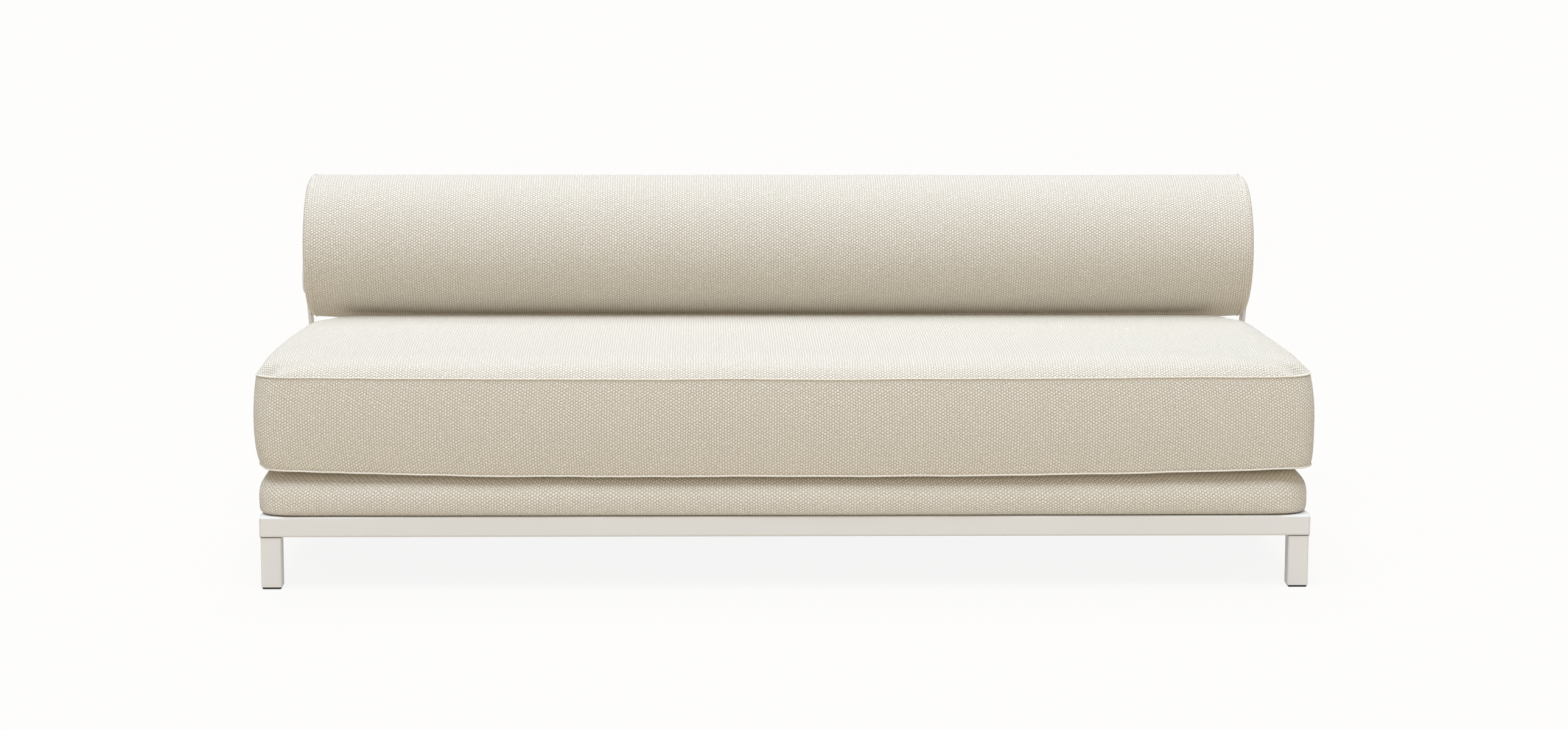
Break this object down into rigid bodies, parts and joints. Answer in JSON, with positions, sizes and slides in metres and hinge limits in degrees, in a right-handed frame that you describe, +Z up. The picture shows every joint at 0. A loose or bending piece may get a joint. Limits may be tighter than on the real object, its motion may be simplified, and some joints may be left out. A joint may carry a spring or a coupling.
{
  "type": "sofa bed",
  "caption": "Sofa bed on a low steel frame: a thick boxed seat cushion folds forward beside a thin lower mattress, and a round bolster back lifts off slotted arms",
  "frame": {"origin": "on the floor under the middle of the sofa's bounding box", "axes": "+X along the sofa to the right as seen from the front, -Y towards the front, +Z up"},
  "size_m": [2.0422, 0.9511, 0.7178],
  "materials": {
    "lacquered_steel": "satin lacquer",
    "zinc_steel": "zinc plated",
    "black_plastic": "matte moulded",
    "pale_plastic": "matte moulded",
    "birch": "clear lacquered ply",
    "hard_cardboard": "wound paper tube",
    "cream_weave": "chunky dotted basket weave",
    "cream_tape": "flat woven tape"
  },
  "bodies": {
    "base": {"front_rail": "lacquered_steel", "rear_rail": "lacquered_steel", "side_rail_left": "lacquered_steel", "side_rail_right": "lacquered_steel", "centre_beam": "lacquered_steel", "rail_cap_front_left": "pale_plastic", "rail_cap_front_right": "pale_plastic", "rail_cap_rear_left": "pale_plastic", "rail_cap_rear_right": "pale_plastic", "leg_front_left": "lacquered_steel", "leg_glide_front_left": "black_plastic", "leg_bolt_front_left": "zinc_steel", "leg_front_right": "lacquered_steel", "leg_glide_front_right": "black_plastic", "leg_bolt_front_right": "zinc_steel", "leg_rear_left": "lacquered_steel", "leg_glide_rear_left": "black_plastic", "leg_bolt_rear_left": "zinc_steel", "leg_rear_right": "lacquered_steel", "leg_glide_rear_right": "black_plastic", "leg_bolt_rear_right": "zinc_steel", "slat_ledge_front_left": "lacquered_steel", "slat_ledge_front_right": "lacquered_steel", "slat_ledge_rear_left": "lacquered_steel", "slat_ledge_rear_right": "lacquered_steel", "slat_01": "birch", "slat_02": "birch", "slat_03": "birch", "slat_04": "birch", "slat_05": "birch", "slat_06": "birch", "slat_07": "birch", "slat_08": "birch", "slat_09": "birch", "slat_10": "birch", "slat_11": "birch", "slat_12": "birch", "back_arm_left": "lacquered_steel", "arm_bolt_left_front": "zinc_steel", "arm_bolt_left_rear": "zinc_steel", "back_arm_right": "lacquered_steel", "arm_bolt_right_front": "zinc_steel", "arm_bolt_right_rear": "zinc_steel", "lower_mattress": "cream_weave", "fold_hinge_tape": "cream_tape"},
    "seat": {"seat_cushion": "cream_weave"},
    "bolster": {"bolster_cushion": "cream_weave", "bolster_core": "hard_cardboard", "bolster_end_board_left": "birch", "pin_washer_left": "pale_plastic", "hanging_pin_left": "lacquered_steel", "bolster_end_board_right": "birch", "pin_washer_right": "pale_plastic", "hanging_pin_right": "lacquered_steel"}
  },
  "joints": [
    {"name": "seat_fold", "type": "hinge", "parent": "base", "child": "seat", "pos_m": [0, -0.4775, 0.2242], "axis": [1, 0, 0], "range_deg": [0, 180]},
    {"name": "bolster_lift", "type": "slide", "parent": "base", "child": "bolster", "axis": [0, 0, 1], "range_m": [0, 0.15]}
  ]
}
